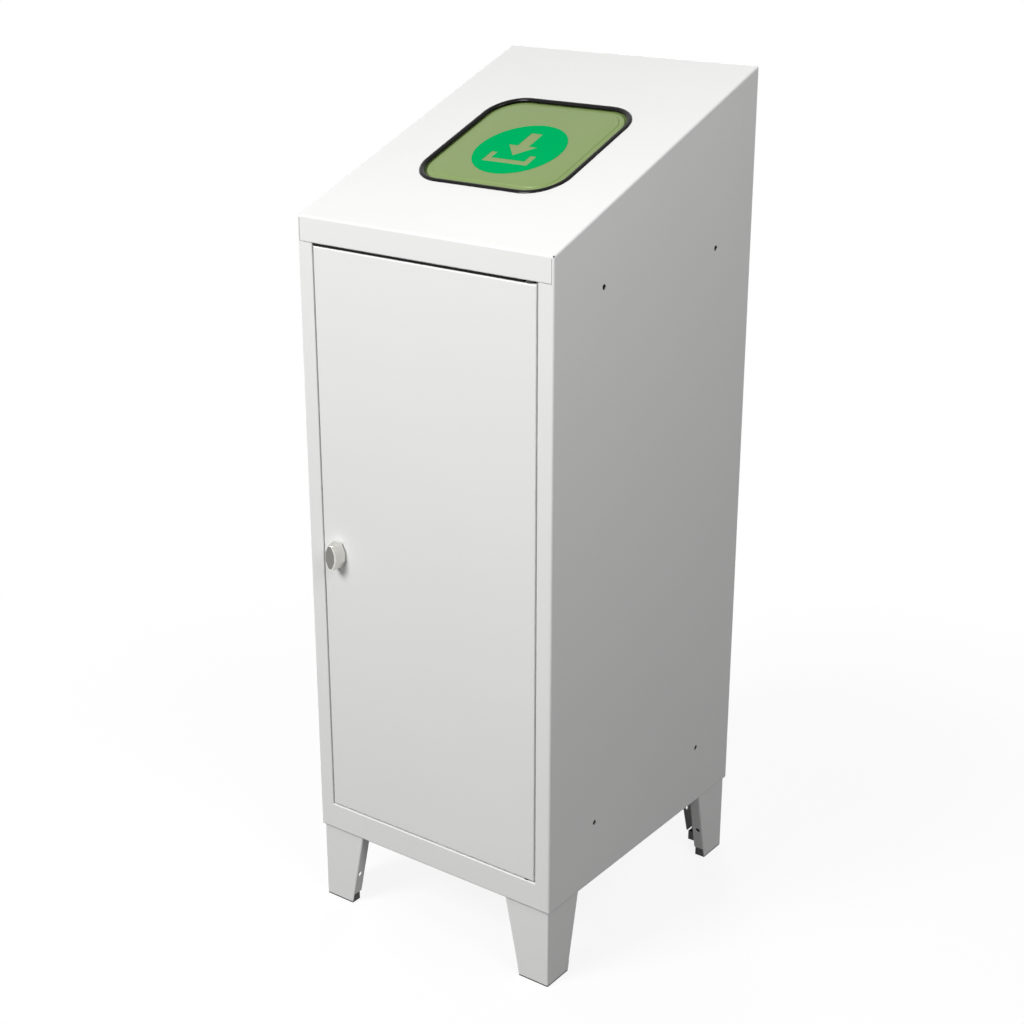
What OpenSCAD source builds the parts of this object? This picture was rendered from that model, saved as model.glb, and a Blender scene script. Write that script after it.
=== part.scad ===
// Recycling bin: a cabinet of folded sheet steel on four tapered legs, with a hinged front door,
// a quarter-turn knob and a sprung push flap in its sloping hood.
// X runs to the right of someone who faces the door, Y to the back and Z up. The origin is on the
// floor, in the middle of the ground that the bin covers, its knob included.

/* [Cabinet] */
// Width over the side panels
body_w = 380; // [350:5:440]
// Depth from the door's face to the back
body_d = 440; // [420:5:500]
// Height of the front, from the underside of the rail to the hood's edge
front_h = 840; // [800:10:940]
// Rise of the hood from level, in degrees
slope = 20; // [15:1:24]
// Thickness of the cabinet's sheet
sheet = 1.2; // [1:0.1:1.5]
// Outer radius of the cabinet's folds
fold_r = 3; // [2.4:0.2:3.6]

/* [Front frame] */
// Width of each stile beside the door
stile_w = 22; // [20:1:28]
// Height of the hood's front lip
lip_h = 32; // [26:1:40]
// Height of the bottom rail
rail_h = 38; // [32:1:46]
// Width of the flanges folded in under the cabinet and at its lip
flange_w = 28; // [26:1:32]
// Depth at which the left stile's landing stops the door
landing_y = 18; // [18:0.5:20]
// Width of that landing
landing_w = 12; // [10:1:14]
// Height of the hood's rear flange
rear_flange_h = 24; // [20:1:30]

/* [Door] */
// Gap down each side of the door
door_gap = 2.2; // [1.5:0.1:2.6]
// Gap under the door
door_gap_low = 2; // [1.8:0.1:2.6]
// Gap above the door
door_gap_top = 3.5; // [3:0.25:5]
// Depth of the door's folded edges
door_depth = 16; // [14:0.5:16]
// Outer radius of the folds on both sides of the door's gap
door_fold_r = 1.6; // [1.5:0.1:2.4]
// How far the pivots stand in from the door's right edge
pivot_in = 12; // [11:0.5:14]
// How far the pivots stand behind the door's face
pivot_back = 7; // [6.8:0.1:7.2]
// Diameter of the pivot pins
pivot_d = 5; // [4:0.5:5]
// Diameter of the rubber buffers on the landing
buffer_d = 9; // [7:0.5:9]

/* [Lock] */
// Place of the knob in from the left side of the cabinet
knob_x = 49; // [46:1:52]
// Height of the knob above the underside of the rail
knob_z = 410; // [360:10:460]
// Height of the knob
knob_h = 34; // [30:1:38]
// Height of the flats at the knob's sides
knob_flat_h = 12; // [6:0.5:16]
// Width of the knob at its front
knob_w = 17.5; // [16:0.5:20]
// Width of the knob at its back
knob_back_w = 24; // [22:0.5:28]
// How far the knob stands out from the door
knob_stand = 18; // [16:1:24]
// Diameter of the rose on the door
rose_d = 20; // [18:0.5:22]
// Diameter of the lock's threaded barrel
barrel_d = 16; // [14:0.5:16]
// Diameter of the lock's spindle
spindle_d = 8; // [7:0.5:9]
// Reach of the cam from the spindle
cam_reach = 34; // [32:1:36]
// Width of the cam
cam_w = 14; // [12:0.5:14]

/* [Mouth and flap] */
// Width and length of the mouth over its black trim
mouth_w = 218; // [200:2:226]
// Corner radius of the trim
mouth_r = 48; // [40:1:56]
// Distance up the slope from the hood's front edge to the trim
mouth_front = 112; // [100:1:120]
// Width of the trim
trim_w = 7; // [6:0.25:8]
// How far the trim stands proud of the sheet
trim_stand = 2.2; // [1.8:0.1:2.6]
// Gap between the flap and the trim
flap_gap = 2.2; // [1.6:0.1:2.6]
// How far the flap's border lies below the hood
flap_drop = 1.6; // [1.2:0.1:1.8]
// Wall of the flap
flap_wall = 2.5; // [2:0.1:3]
// Width of the lower border round the flap's face
border_w = 8; // [6:0.5:10]
// How far the face stands above that border
border_step = 1; // [0.6:0.1:1.2]
// Width of the flange that stops the flap under the trim
flap_flange_w = 6; // [5:0.5:6.5]
// How far the hinge rod lies behind the flap
rod_back = 14; // [13:0.5:16]
// How far the hinge rod lies below the hood's surface
rod_drop = 12.5; // [12.5:0.25:13]
// Diameter of the hinge rod
rod_d = 5; // [4.5:0.25:5]
// Diameter of the symbol
symbol_d = 120; // [100:2:130]
// Distance of the symbol's centre in front of the flap's centre
symbol_drop = 13; // [0:1:20]

/* [Legs] */
// Height of the legs
leg_h = 110; // [90:5:130]
// Width of each leg at its top
leg_top_w = 68; // [66:1:74]
// Width of each leg at its foot
leg_foot_w = 46; // [40:1:52]
// How far the legs stand in from the cabinet's faces
leg_inset = 3; // [2:0.5:5]
// Thickness of the legs' sheet
leg_sheet = 1.5; // [1.2:0.1:2]
// Depth of the second fold along a leg's inner edges
leg_return = 15; // [12:1:22]
// How far that fold stops short of the foot
leg_return_short = 12; // [8:1:16]
// Diameter of the hole in that fold
leg_hole_d = 7; // [4:0.5:7]
// Height of that hole above the floor
leg_hole_z = 46; // [36:1:60]
// Thickness of the glide's sole
glide_sole = 2; // [1.5:0.25:3]

/* [Linking holes] */
// Diameter of the holes that link two bins side by side
link_d = 7; // [6:0.5:9]
// Distance of the front pair behind the door's face
link_y = 100; // [80:5:110]
// Spacing of the holes from front to back
link_pitch_y = 250; // [200:5:260]
// Height of the lower pair above the underside of the rail
link_z = 86; // [70:2:100]
// Spacing of the holes from bottom to top
link_pitch_z = 700; // [640:10:700]

/* [Liner] */
// Width of the liner's body
liner_w = 276; // [240:4:276]
// Depth of the liner
liner_d = 376; // [320:4:376]
// Height of the liner
liner_h = 640; // [560:10:640]
// Thickness of the liner's sheet
liner_sheet = 1; // [0.8:0.1:1.2]
// Width of the hem round the liner's top
hem_w = 5; // [4:0.5:5]
// Distance from the door's face to the liner
liner_y = 44; // [42:1:46]

/* [Hidden] */
$fn = 64;

POWDER_WHITE = [0.90, 0.90, 0.89];
SHADE_WHITE = [0.80, 0.80, 0.79];
RUBBER_BLACK = [0.09, 0.08, 0.08];
FLAP_GREEN = [0.56, 0.67, 0.40];
SYMBOL_GREEN = [0.0, 0.72, 0.38];
ZINC = [0.66, 0.67, 0.69];
KNOB_METAL = [0.70, 0.70, 0.68];
NYLON = [0.18, 0.18, 0.18];

half_sheet = sheet / 2;
half_w = body_w / 2;
side_in = half_w - sheet;            // inner face of a side panel
open_x = half_w - stile_w;           // edge of the door's opening
lip_z = front_h - lip_h;             // underside of the hood's lip
back_y = body_d - sheet;             // front face of the rear flanges
seam = 0.2;                          // clearance where painted sheets meet
fit = 0.05;                          // radial clearance of what turns
grip = 0.02;                         // radial clearance of what is pressed in
lap = 0.02;                          // what a run of sheet laps into its bends, to join them surely
over = 1;                            // how far a cutting shape runs past what it cuts
rivet_head = 1.4;
front_y = (knob_stand - body_d - rivet_head) / 2;   // the door's face in the part's frame

function unit(v) = v / norm(v);
function left_of(v) = [-v[1], v[0]];
function turn_at(p, i) =
    let (a = p[i] - p[i - 1], b = p[i + 1] - p[i]) atan2(a[0] * b[1] - a[1] * b[0], a * b);
function bend_r(r, i) = is_list(r) ? r[i - 1] : r;   // r is one radius, or a list with one for each bend
function setback(p, i, r) = (i == 0 || i == len(p) - 1) ? 0 : bend_r(r, i) * tan(abs(turn_at(p, i)) / 2);
function hood_z(y) = front_h + y * tan(slope);      // the hood's outer surface

// Places its children by the door's face and the underside of the rail
module on_cabinet() {
    translate([0, front_y, leg_h]) children();
}

// Places its children by the hood's front edge: Y runs up the slope and Z stands out of it
module on_slope() {
    on_cabinet() translate([0, 0, front_h]) rotate([slope, 0, 0]) children();
}

// Extrudes a section drawn in Y and Z, centred on X
module along_x(w) {
    translate([-w / 2, 0, 0]) rotate([90, 0, 90]) linear_extrude(w) children();
}

// Box from its lowest corner to its highest
module block(low, high) {
    translate(low) cube(high - low);
}

// Sector of a ring, from the X axis round by the angle given
module ring_sector(r, t, angle) {
    reach = 2 * (r + t);
    intersection() {
        difference() {
            circle(r + t / 2);
            circle(r - t / 2);
        }
        polygon([
            [0, 0],
            [reach, 0],
            [reach * cos(angle / 2), reach * sin(angle / 2)] / cos(angle / 2),
            [reach * cos(angle), reach * sin(angle)]
        ]);
    }
}

// Section of a folded sheet of thickness t: straight runs and round bends along its middle line p
module folded(p, t, r) {
    for (i = [0 : len(p) - 2]) {
        run = p[i + 1] - p[i];
        start = (i == 0) ? 0 : setback(p, i, r) - lap;
        end = norm(run) - ((i == len(p) - 2) ? 0 : setback(p, i + 1, r) - lap);
        translate(p[i]) rotate(atan2(run[1], run[0])) translate([start, -t / 2]) square([end - start, t]);
    }
    for (i = [1 : len(p) - 2]) {
        before = unit(p[i] - p[i - 1]);
        inward = left_of(before) * sign(turn_at(p, i));
        centre = p[i] - before * setback(p, i, r) + inward * bend_r(r, i);
        translate(centre) rotate(atan2(-inward[1], -inward[0])) ring_sector(bend_r(r, i), t, turn_at(p, i));
    }
}

module rounded_square(w, r, d = 0) {
    deep = (d == 0) ? w : d;
    square([w - 2 * r, deep], center = true);
    square([w, deep - 2 * r], center = true);
    for (x = [-1, 1], y = [-1, 1]) {
        translate([x * (w / 2 - r), y * (deep / 2 - r)]) circle(r);
    }
}

// Square whose two front corners, at y = 0, are round
module front_rounded(w, d, r) {
    translate([-w / 2, r]) square([w, d - r]);
    translate([-w / 2 + r, 0]) square([w - 2 * r, d]);
    for (x = [-1, 1]) {
        translate([x * (w / 2 - r), r]) circle(r);
    }
}

// Square from the origin whose nearest corner is round
module corner_square(w, r) {
    translate([r, 0]) square([w - r, w]);
    translate([0, r]) square([w, w - r]);
    translate([r, r]) circle(r);
}

// Runs a section round a rounded square: its X points out of the square
module along_square(w, r) {
    straight = w - 2 * r;
    for (turn = [0 : 90 : 270]) {
        rotate(turn) {
            translate([w / 2, straight / 2, 0]) rotate([90, 0, 0]) linear_extrude(straight) children();
            translate([straight / 2, straight / 2, 0])
                rotate_extrude(angle = 90) translate([r, 0]) children();
        }
    }
}

// Slab on a rounded square, h high, whose upper edge is rounded with the radius e
module soft_slab(w, r, h, e) {
    linear_extrude(h - e) rounded_square(w, r);
    linear_extrude(h) rounded_square(w - 2 * e, r - e);
    translate([0, 0, h - e]) along_square(w - 2 * e, r - e) circle(e);
}

// Solid through rings of points, each of them anticlockwise to an eye that the rings come towards
module through_rings(rings) {
    n = len(rings);
    sides = len(rings[0]);
    walls = [for (i = [0 : n - 2], k = [0 : sides - 1])
        let (a = i * sides + k, b = i * sides + (k + 1) % sides, c = a + sides, d = b + sides)
        each [[a, b, d], [a, d, c]]];
    ends = [for (k = [1 : sides - 2]) each [
        [0, k + 1, k],
        [(n - 1) * sides, (n - 1) * sides + k, (n - 1) * sides + k + 1]
    ]];
    polyhedron([for (ring = rings) each ring], concat(walls, ends));
}

// Screw holes and other round cuts along Y, through the plane y = 0
module drill_y(d, reach) {
    rotate([90, 0, 0]) cylinder(d = d, h = 2 * reach, center = true);
}

// Side panels

fold_mid = fold_r - half_sheet;
gap_mid = door_fold_r - half_sheet;  // the same for the folds beside the door's gap
side_rear_w = 20;
rail_end = open_x + door_fold_r;     // half the length of the rail
side_path = [
    [open_x + half_sheet, landing_y],
    [open_x + half_sheet, half_sheet],
    [half_w - half_sheet, half_sheet],
    [half_w - half_sheet, body_d - half_sheet],
    [half_w - side_rear_w, body_d - half_sheet]
];
landing_path = [
    [open_x - landing_w, landing_y + half_sheet],
    [open_x + half_sheet, landing_y + half_sheet]
];

module link_holes() {
    for (y = [link_y, link_y + link_pitch_y], z = [link_z, link_z + link_pitch_z]) {
        translate([half_w, y, z]) rotate([0, 90, 0]) cylinder(d = link_d, h = 4 * over, center = true);
    }
}

// The space over the cabinet's underside, whose lower edges are as round as the folds
module above_underside() {
    intersection() {
        along_x(body_w) translate([body_d / 2, 0]) front_rounded(body_d, 2 * front_h, fold_r);
        translate([0, body_d, 0]) rotate([90, 0, 0])
            linear_extrude(body_d) front_rounded(body_w, 2 * front_h, fold_r);
    }
}

// The right panel; the left one is its mirror image and also has the door's landing
module side_panel(with_landing) {
    path = with_landing ? concat(landing_path, [for (i = [1 : 4]) side_path[i]]) : side_path;
    bends = with_landing ? [gap_mid, gap_mid, fold_mid, fold_mid] : [gap_mid, fold_mid, fold_mid];
    cut_x = half_w - fold_r;
    on_cabinet() difference() {
        intersection() {
            union() {
                linear_extrude(hood_z(body_d)) folded(path, sheet, bends);
                block([side_in - flange_w, flange_w + over, 0],
                      [side_in + half_sheet, back_y - 2 * sheet, sheet]);
            }
            above_underside();
        }
        // room for the hood: its folded edge, its lip and its rear flange
        above_hood_edge();
        block([open_x - landing_w - over, -over, lip_z - seam], [cut_x, flange_w, hood_z(body_d)]);
        block([0, back_y - over, hood_z(body_d) - rear_flange_h - seam],
              [cut_x, body_d + over, hood_z(body_d)]);
        // room for the rail, which meets the foot of the stile edge to edge, and for the pan behind it
        block([open_x - landing_w - over, -over, -over], [rail_end, flange_w, rail_h]);
        block([open_x - landing_w - over, sheet + seam, -over],
              [side_in - fold_r, flange_w, rail_h + seam]);
        link_holes();
        leg_bolt_places(side_flange = true) cylinder(d = bolt_hole_d, h = 4 * over, center = true);
    }
}

module right_side_panel() {
    color(POWDER_WHITE) side_panel(false);
}

module left_side_panel() {
    color(POWDER_WHITE) mirror([1, 0, 0]) side_panel(true);
}

// Back panel: flat, inside the rear flanges, with a flange folded in at its foot

back_in_y = back_y - sheet;
back_x = half_w - fold_r - seam;
back_top_z = hood_z(back_y) - sheet / cos(slope) - (fold_r - sheet) * tan((90 + slope) / 2) - seam;

module back_panel() {
    color(POWDER_WHITE) on_cabinet() difference() {
        union() {
            block([-back_x, back_in_y, 0], [back_x, back_y, back_top_z]);
            block([-side_in + flange_w + seam, back_in_y - flange_w, 0],
                  [side_in - flange_w - seam, back_y, sheet]);
        }
        leg_bolt_places(side_flange = false) cylinder(d = bolt_hole_d, h = 4 * over, center = true);
        rivet_places() drill_y(rivet_d + 2 * grip, 4 * sheet);
    }
}

// Floor pan: its front fold is the bottom rail

pan_path = [
    [flange_w, half_sheet],
    [half_sheet, half_sheet],
    [half_sheet, rail_h - half_sheet],
    [flange_w, rail_h - half_sheet]
];
pan_flange_h = 26;

module floor_pan() {
    color(POWDER_WHITE) on_cabinet() difference() {
        union() {
            along_x(2 * rail_end) folded(pan_path, sheet, [fold_mid, gap_mid]);
            block([-side_in, fold_r, rail_h - sheet], [side_in, back_in_y, rail_h]);
            for (side = [-1, 1]) {
                block([side * side_in - (side > 0 ? sheet : 0), fold_r, rail_h - pan_flange_h],
                      [side * side_in + (side < 0 ? sheet : 0), back_in_y, rail_h]);
            }
            block([-side_in, back_in_y - sheet, rail_h - pan_flange_h], [side_in, back_in_y, rail_h]);
        }
        // notches for the rear folds of the side panels
        for (side = [-1, 1]) {
            near = side * (half_w - fold_r);
            far = side * half_w;
            block([min(near, far), body_d - fold_r, 0], [max(near, far), body_d, rail_h + over]);
        }
        translate([pivot_x, pivot_back, rail_h]) cylinder(d = bush_d + 2 * grip, h = 4 * over, center = true);
        leg_bolt_places(side_flange = false) cylinder(d = bolt_hole_d, h = 4 * over, center = true);
    }
}

// Hood: one sheet folded down all round, into a lip in front, a flange behind and edges that meet
// the side panels

lip_gap = 0.7;                       // between the lip's ends and the side panels
lip_end = half_w - fold_r - lip_gap; // half the width of the lip and of the rear flange
lip_path = [
    [flange_w, lip_z + half_sheet],
    [half_sheet, lip_z + half_sheet],
    [half_sheet, lip_z + lip_h / 2]
];
relief_d = 2.4;                      // holes in the hood's corners, where its folds meet
mouth_v = mouth_front + mouth_w / 2;
cut_w = mouth_w - trim_w;            // width of the mouth cut in the sheet
cut_r = mouth_r - trim_w / 2;

// All that lies above the lower edge of the hood's side folds
module above_hood_edge() {
    translate([0, 0, front_h]) rotate([slope, 0, 0])
        block([-body_w, -body_d, -fold_r], [body_w, 2 * body_d, body_d]);
}

// The space inside the hood's outer faces, t in from them, with round edges
module hood_space(t) {
    r = fold_r - t;
    front = [fold_r, hood_z(fold_r) - fold_r / cos(slope)];
    rear = [body_d - fold_r, hood_z(body_d - fold_r) - fold_r / cos(slope)];
    up = r * [-sin(slope), cos(slope)];
    intersection() {
        along_x(body_w - 2 * t) {
            polygon([[t, 0], [t, front[1]], front + up, rear + up, [body_d - t, rear[1]], [body_d - t, 0]]);
            translate(front) circle(r);
            translate(rear) circle(r);
        }
        linear_extrude(2 * front_h) translate([0, body_d / 2])
            rounded_square(body_w - 2 * t, r, body_d - 2 * t);
        translate([0, 0, front_h]) rotate([slope, 0, 0]) translate([0, 2 * body_d, 0]) rotate([90, 0, 0])
            linear_extrude(4 * body_d) translate([0, -t]) mirror([0, 1])
                front_rounded(body_w - 2 * t, body_d, r);
    }
}

module hood() {
    flange_z = hood_z(body_d) - rear_flange_h;
    color(POWDER_WHITE) difference() {
        on_cabinet() difference() {
            union() {
                intersection() {
                    difference() {
                        hood_space(0);
                        hood_space(sheet);
                    }
                    union() {
                        above_hood_edge();
                        block([-lip_end, -over, lip_z + lip_h / 3], [lip_end, fold_r, hood_z(body_d)]);
                        block([-lip_end, body_d - fold_r, flange_z], [lip_end, body_d + over, hood_z(body_d)]);
                    }
                }
                along_x(2 * lip_end) folded(lip_path, sheet, gap_mid);
            }
            for (side = [-1, 1], out = [-1, 1]) {
                y = (out < 0) ? fold_r : body_d - fold_r;
                translate([side * (half_w - fold_r), y, hood_z(y) - fold_r / cos(slope)])
                    rotate([0, atan(sqrt(2)), atan2(out, side)]) cylinder(d = relief_d, h = 2 * fold_r);
            }
            translate([pivot_x, pivot_back, lip_z]) cylinder(d = bush_d + 2 * grip, h = 4 * over, center = true);
            rivet_places() drill_y(rivet_d + 2 * grip, 4 * sheet);
        }
        on_slope() translate([0, mouth_v, -2 * sheet]) linear_extrude(4 * sheet) rounded_square(cut_w, cut_r);
    }
}

// Rivets that hold the hood to the back panel

rivet_d = 4;
rivet_head_d = 8;
rivet_pitch = 120;
rivet_z = hood_z(body_d) - rear_flange_h / 2;

module rivet_places() {
    for (i = [-1, 0, 1]) {
        translate([i * rivet_pitch, body_d, rivet_z]) children();
    }
}

module hood_rivets() {
    dome_r = (pow(rivet_head_d / 2, 2) + pow(rivet_head, 2)) / (2 * rivet_head);
    tail_d = 6;
    tail_h = 2;
    color(SHADE_WHITE) on_cabinet() rivet_places() rotate([-90, 0, 0]) {
        translate([0, 0, -2 * sheet - tail_h]) cylinder(d = rivet_d, h = 2 * sheet + tail_h);
        translate([0, 0, -2 * sheet - tail_h]) cylinder(d = tail_d, h = tail_h - fit);
        intersection() {
            translate([0, 0, rivet_head - dome_r]) sphere(dome_r);
            cylinder(d = rivet_head_d, h = rivet_head);
        }
    }
}

// Legs: an angle of folded sheet with a second fold along each inner edge and a tab on top

bolt_d = 6;
bolt_hole_d = 6.6;
bolt_near = 14;                      // from the leg's outer faces to its bolts
bolt_far = 46;
leg_sheet_h = leg_h - glide_sole;
leg_tab_w = 58;
leg_bend_r = 0.6;                    // inner radius of the legs' folds
leg_fold_r = leg_sheet + leg_bend_r;
leg_fold_mid = leg_fold_r - leg_sheet / 2;
leg_hole_in = 7;                     // from a leg's outer face to the hole in its second fold
leg_taper = atan((leg_top_w - leg_foot_w) / leg_sheet_h);
leg_stop_z = leg_return_short - leg_sheet_h;
leg_edge_in = 0.6;                   // how far the flat edge below that fold stands in from it
leg_stop_w = leg_foot_w + leg_return_short * tan(leg_taper);

// Bolt places by the corner of the leg: one through the side panel's flange, one through the
// flange of the rail or the back panel. Placed on the underside of the cabinet.
module leg_bolt_places(side_flange) {
    at = side_flange ? [bolt_near, bolt_far] : [bolt_far, bolt_near];
    for (x = [-1, 1], y = [0, 1]) {
        translate([x * (half_w - leg_inset - at[0]), y * body_d + (1 - 2 * y) * (leg_inset + at[1]), 0])
            children();
    }
}

// The flat of a leg's flange between its folds: X along the flange, Y up. Below the end of the
// second fold it runs out to a plain edge.
module leg_flange_shape() {
    fold_in = leg_fold_r / cos(leg_taper);
    polygon([
        [leg_fold_r - lap, 0],
        [leg_top_w - fold_in, 0],
        [leg_stop_w - fold_in, leg_stop_z],
        [leg_stop_w - leg_edge_in, leg_stop_z],
        [leg_foot_w - leg_edge_in, -leg_sheet_h],
        [leg_fold_r - lap, -leg_sheet_h]
    ]);
}

// Places its children on the slanting inner edge of a flange: X points out of it, Z up along it
module on_leg_edge() {
    translate([leg_top_w, 0, 0]) rotate([0, leg_taper, 0]) children();
}

// Half of a leg: the flange that faces the front, its second fold and the hole in it
module leg_half() {
    half = leg_sheet / 2;
    path = [[-leg_fold_r - over, half], [-half, half], [-half, leg_return]];
    hole_down = (leg_sheet_h - leg_hole_z + glide_sole) / cos(leg_taper);
    translate([0, leg_sheet, 0]) rotate([90, 0, 0]) linear_extrude(leg_sheet) leg_flange_shape();
    difference() {
        intersection() {
            block([0, -over, leg_stop_z], [leg_top_w + over, leg_return + over, 0]);
            on_leg_edge() translate([0, 0, -2 * leg_h]) linear_extrude(3 * leg_h)
                folded(path, leg_sheet, leg_fold_mid);
        }
        on_leg_edge() translate([0, leg_hole_in, -hole_down]) rotate([0, 90, 0])
            cylinder(d = leg_hole_d, h = 4 * leg_sheet, center = true);
    }
}

// Swaps X and Y, for the half of a leg that faces sideways
module swap_xy() {
    mirror([1, -1, 0]) children();
}

// A leg with its outer corner at the origin, spreading along X and Y and down from z = 0
module leg_body() {
    half = leg_sheet / 2;
    tab_in = 0.9 * leg_sheet;
    corner_path = [[leg_fold_r + over, half], [half, half], [half, leg_fold_r + over]];
    difference() {
        union() {
            leg_half();
            swap_xy() leg_half();
            translate([0, 0, -leg_sheet_h]) linear_extrude(leg_sheet_h)
                folded(corner_path, leg_sheet, leg_fold_mid);
            translate([tab_in, tab_in, -leg_sheet])
                cube([leg_tab_w - tab_in, leg_tab_w - tab_in, leg_sheet]);
        }
        for (at = [[bolt_near, bolt_far], [bolt_far, bolt_near]]) {
            translate([at[0], at[1], 0]) cylinder(d = bolt_hole_d, h = 4 * leg_sheet, center = true);
        }
    }
}

// Puts a leg's piece at one corner: right is 1 or -1, rear is 0 or 1
module at_leg(right, rear) {
    on_cabinet() mirror([right > 0 ? 1 : 0, 0, 0]) translate([-half_w + leg_inset, 0, 0])
        translate([0, rear * body_d, 0]) mirror([0, rear, 0]) translate([0, leg_inset, 0]) children();
}

module leg_front_left() {
    color(POWDER_WHITE) at_leg(-1, 0) leg_body();
}

module leg_front_right() {
    color(POWDER_WHITE) at_leg(1, 0) leg_body();
}

module leg_rear_left() {
    color(POWDER_WHITE) at_leg(-1, 1) leg_body();
}

module leg_rear_right() {
    color(POWDER_WHITE) at_leg(1, 1) leg_body();
}

// Glides: a sole under the leg's edges, a foot that fills the leg below its second folds, and an
// upstand inside its corner

glide_wall = 4;
glide_up = 20;

module glide_arms(near, far, arm_w, h) {
    linear_extrude(h) difference() {
        translate([near, near]) corner_square(far - near, leg_fold_r - near);
        translate([arm_w, arm_w]) square(leg_foot_w);
    }
}

module glide_body() {
    sole_in = 0.2;
    up_in = leg_sheet + 2 * fit;
    foot_w = leg_foot_w - leg_edge_in;
    translate([0, 0, -leg_h]) {
        glide_arms(sole_in, foot_w - sole_in, leg_return, glide_sole - grip);
        glide_arms(up_in, foot_w - sole_in, leg_return, glide_sole + leg_return_short - 2 * seam);
        glide_arms(up_in, leg_foot_w - leg_return, glide_wall + leg_sheet, glide_up);
    }
}

module glide_front_left() {
    color(RUBBER_BLACK) at_leg(-1, 0) glide_body();
}

module glide_front_right() {
    color(RUBBER_BLACK) at_leg(1, 0) glide_body();
}

module glide_rear_left() {
    color(RUBBER_BLACK) at_leg(-1, 1) glide_body();
}

module glide_rear_right() {
    color(RUBBER_BLACK) at_leg(1, 1) glide_body();
}

nut_h = 5;
nut_across = 10;

module all_leg_bolts() {
    leg_bolt_places(side_flange = true) children();
    leg_bolt_places(side_flange = false) children();
}

module leg_bolts() {
    head_h = 4;
    color(ZINC) on_cabinet() all_leg_bolts() {
        translate([0, 0, -leg_sheet - head_h]) {
            cylinder(d = nut_across / cos(30), h = head_h, $fn = 6);
            cylinder(d = bolt_d, h = head_h + leg_sheet + sheet + nut_h + 2);
        }
    }
}

module leg_nuts() {
    color(ZINC) on_cabinet() all_leg_bolts() translate([0, 0, sheet]) difference() {
        cylinder(d = nut_across / cos(30), h = nut_h, $fn = 6);
        translate([0, 0, -over]) cylinder(d = bolt_d + 2 * grip, h = nut_h + 2 * over);
    }
}

// Door: a shallow pan with its edges folded back and lips folded in at left and right

door_w = 2 * (open_x - door_gap);
door_low = rail_h + door_gap_low;
door_top = lip_z - door_gap_top;
door_h = door_top - door_low;
door_lip_w = 14;

module door_block(w, h, r) {
    intersection() {
        translate([0, 0, door_low + (door_h - h) / 2]) linear_extrude(h) front_rounded(w, door_depth, r);
        translate([0, 0, door_low + door_h / 2]) along_x(w) rotate(90) mirror([0, 1])
            front_rounded(h, door_depth, r);
    }
}

module door_panel() {
    inner_r = door_fold_r - sheet;
    color(POWDER_WHITE) on_cabinet() difference() {
        union() {
            difference() {
                door_block(door_w, door_h, door_fold_r);
                translate([0, sheet, 0]) door_block(door_w - 2 * sheet, door_h - 2 * sheet, inner_r);
            }
            for (side = [-1, 1]) {
                inner = side * (door_w / 2 - door_lip_w);
                outer = side * (door_w / 2 - half_sheet);
                block([min(inner, outer), door_depth - sheet, door_low + half_sheet],
                      [max(inner, outer), door_depth, door_top - half_sheet]);
            }
        }
        translate([pivot_x, pivot_back, door_low - over])
            cylinder(d = pivot_d + 2 * grip, h = door_h + 2 * over);
        on_lock() drill_y(barrel_d + 2 * grip, 2 * sheet);
    }
}

// Hat-section channel spot-welded down the middle of the door

hat_w = 60;
hat_depth = 12;
hat_brim = 14;
hat_short = 34;

module door_stiffener() {
    near = sheet + half_sheet;
    far = sheet + hat_depth - half_sheet;
    path = [
        [-hat_w / 2 - hat_brim, near],
        [-hat_w / 2, near],
        [-hat_w / 2, far],
        [hat_w / 2, far],
        [hat_w / 2, near],
        [hat_w / 2 + hat_brim, near]
    ];
    color(POWDER_WHITE) on_cabinet() translate([0, 0, door_low + hat_short])
        linear_extrude(door_h - 2 * hat_short) folded(path, sheet, fold_mid);
}

// Door pivots: a pin pressed in a plate inside each end of the door turns in a bush in the frame

pivot_x = open_x - door_gap - pivot_in;
bush_d = 8;
bush_rim_d = 12;
bush_gap = 0.3;
pivot_plate_t = 3;
pivot_plate_w = 30;
pin_reach = 7;                       // how far a pin runs past the frame's flange

module pivot_plate(z) {
    right = pivot_x + pivot_in - door_fold_r - seam;
    color(ZINC) on_cabinet() difference() {
        block([right - pivot_plate_w, door_fold_r + seam, z],
              [right, door_depth - sheet - seam, z + pivot_plate_t]);
        translate([pivot_x, pivot_back, z - over])
            cylinder(d = pivot_d + 2 * grip, h = pivot_plate_t + 2 * over);
    }
}

module pivot_plate_upper() {
    pivot_plate(door_top - sheet - pivot_plate_t);
}

module pivot_plate_lower() {
    pivot_plate(door_low + sheet);
}

module pivot_pin(low, high) {
    color(ZINC) on_cabinet() translate([pivot_x, pivot_back, low]) cylinder(d = pivot_d, h = high - low);
}

module pivot_pin_upper() {
    pivot_pin(door_top - sheet - pivot_plate_t - over, lip_z + pin_reach);
}

module pivot_pin_lower() {
    pivot_pin(rail_h - pin_reach, door_low + sheet + pivot_plate_t + over);
}

// Flanged bush: its rim lies on the sheet on the door's side, its sleeve goes through
module pivot_bush(rim_h) {
    sleeve = 5;                      // how far it reaches past the sheet's door side
    difference() {
        union() {
            cylinder(d = bush_rim_d, h = rim_h);
            translate([0, 0, -sleeve]) cylinder(d = bush_d, h = sleeve + rim_h);
        }
        translate([0, 0, -sleeve - over]) cylinder(d = pivot_d + 2 * fit, h = sleeve + rim_h + 2 * over);
    }
}

module pivot_bush_upper() {
    color(NYLON) on_cabinet() translate([pivot_x, pivot_back, lip_z]) mirror([0, 0, 1])
        pivot_bush(door_gap_top - bush_gap);
}

module pivot_bush_lower() {
    color(NYLON) on_cabinet() translate([pivot_x, pivot_back, rail_h])
        pivot_bush(door_gap_low - bush_gap);
}

// Rubber buffers on the landing, which the closed door meets

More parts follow.
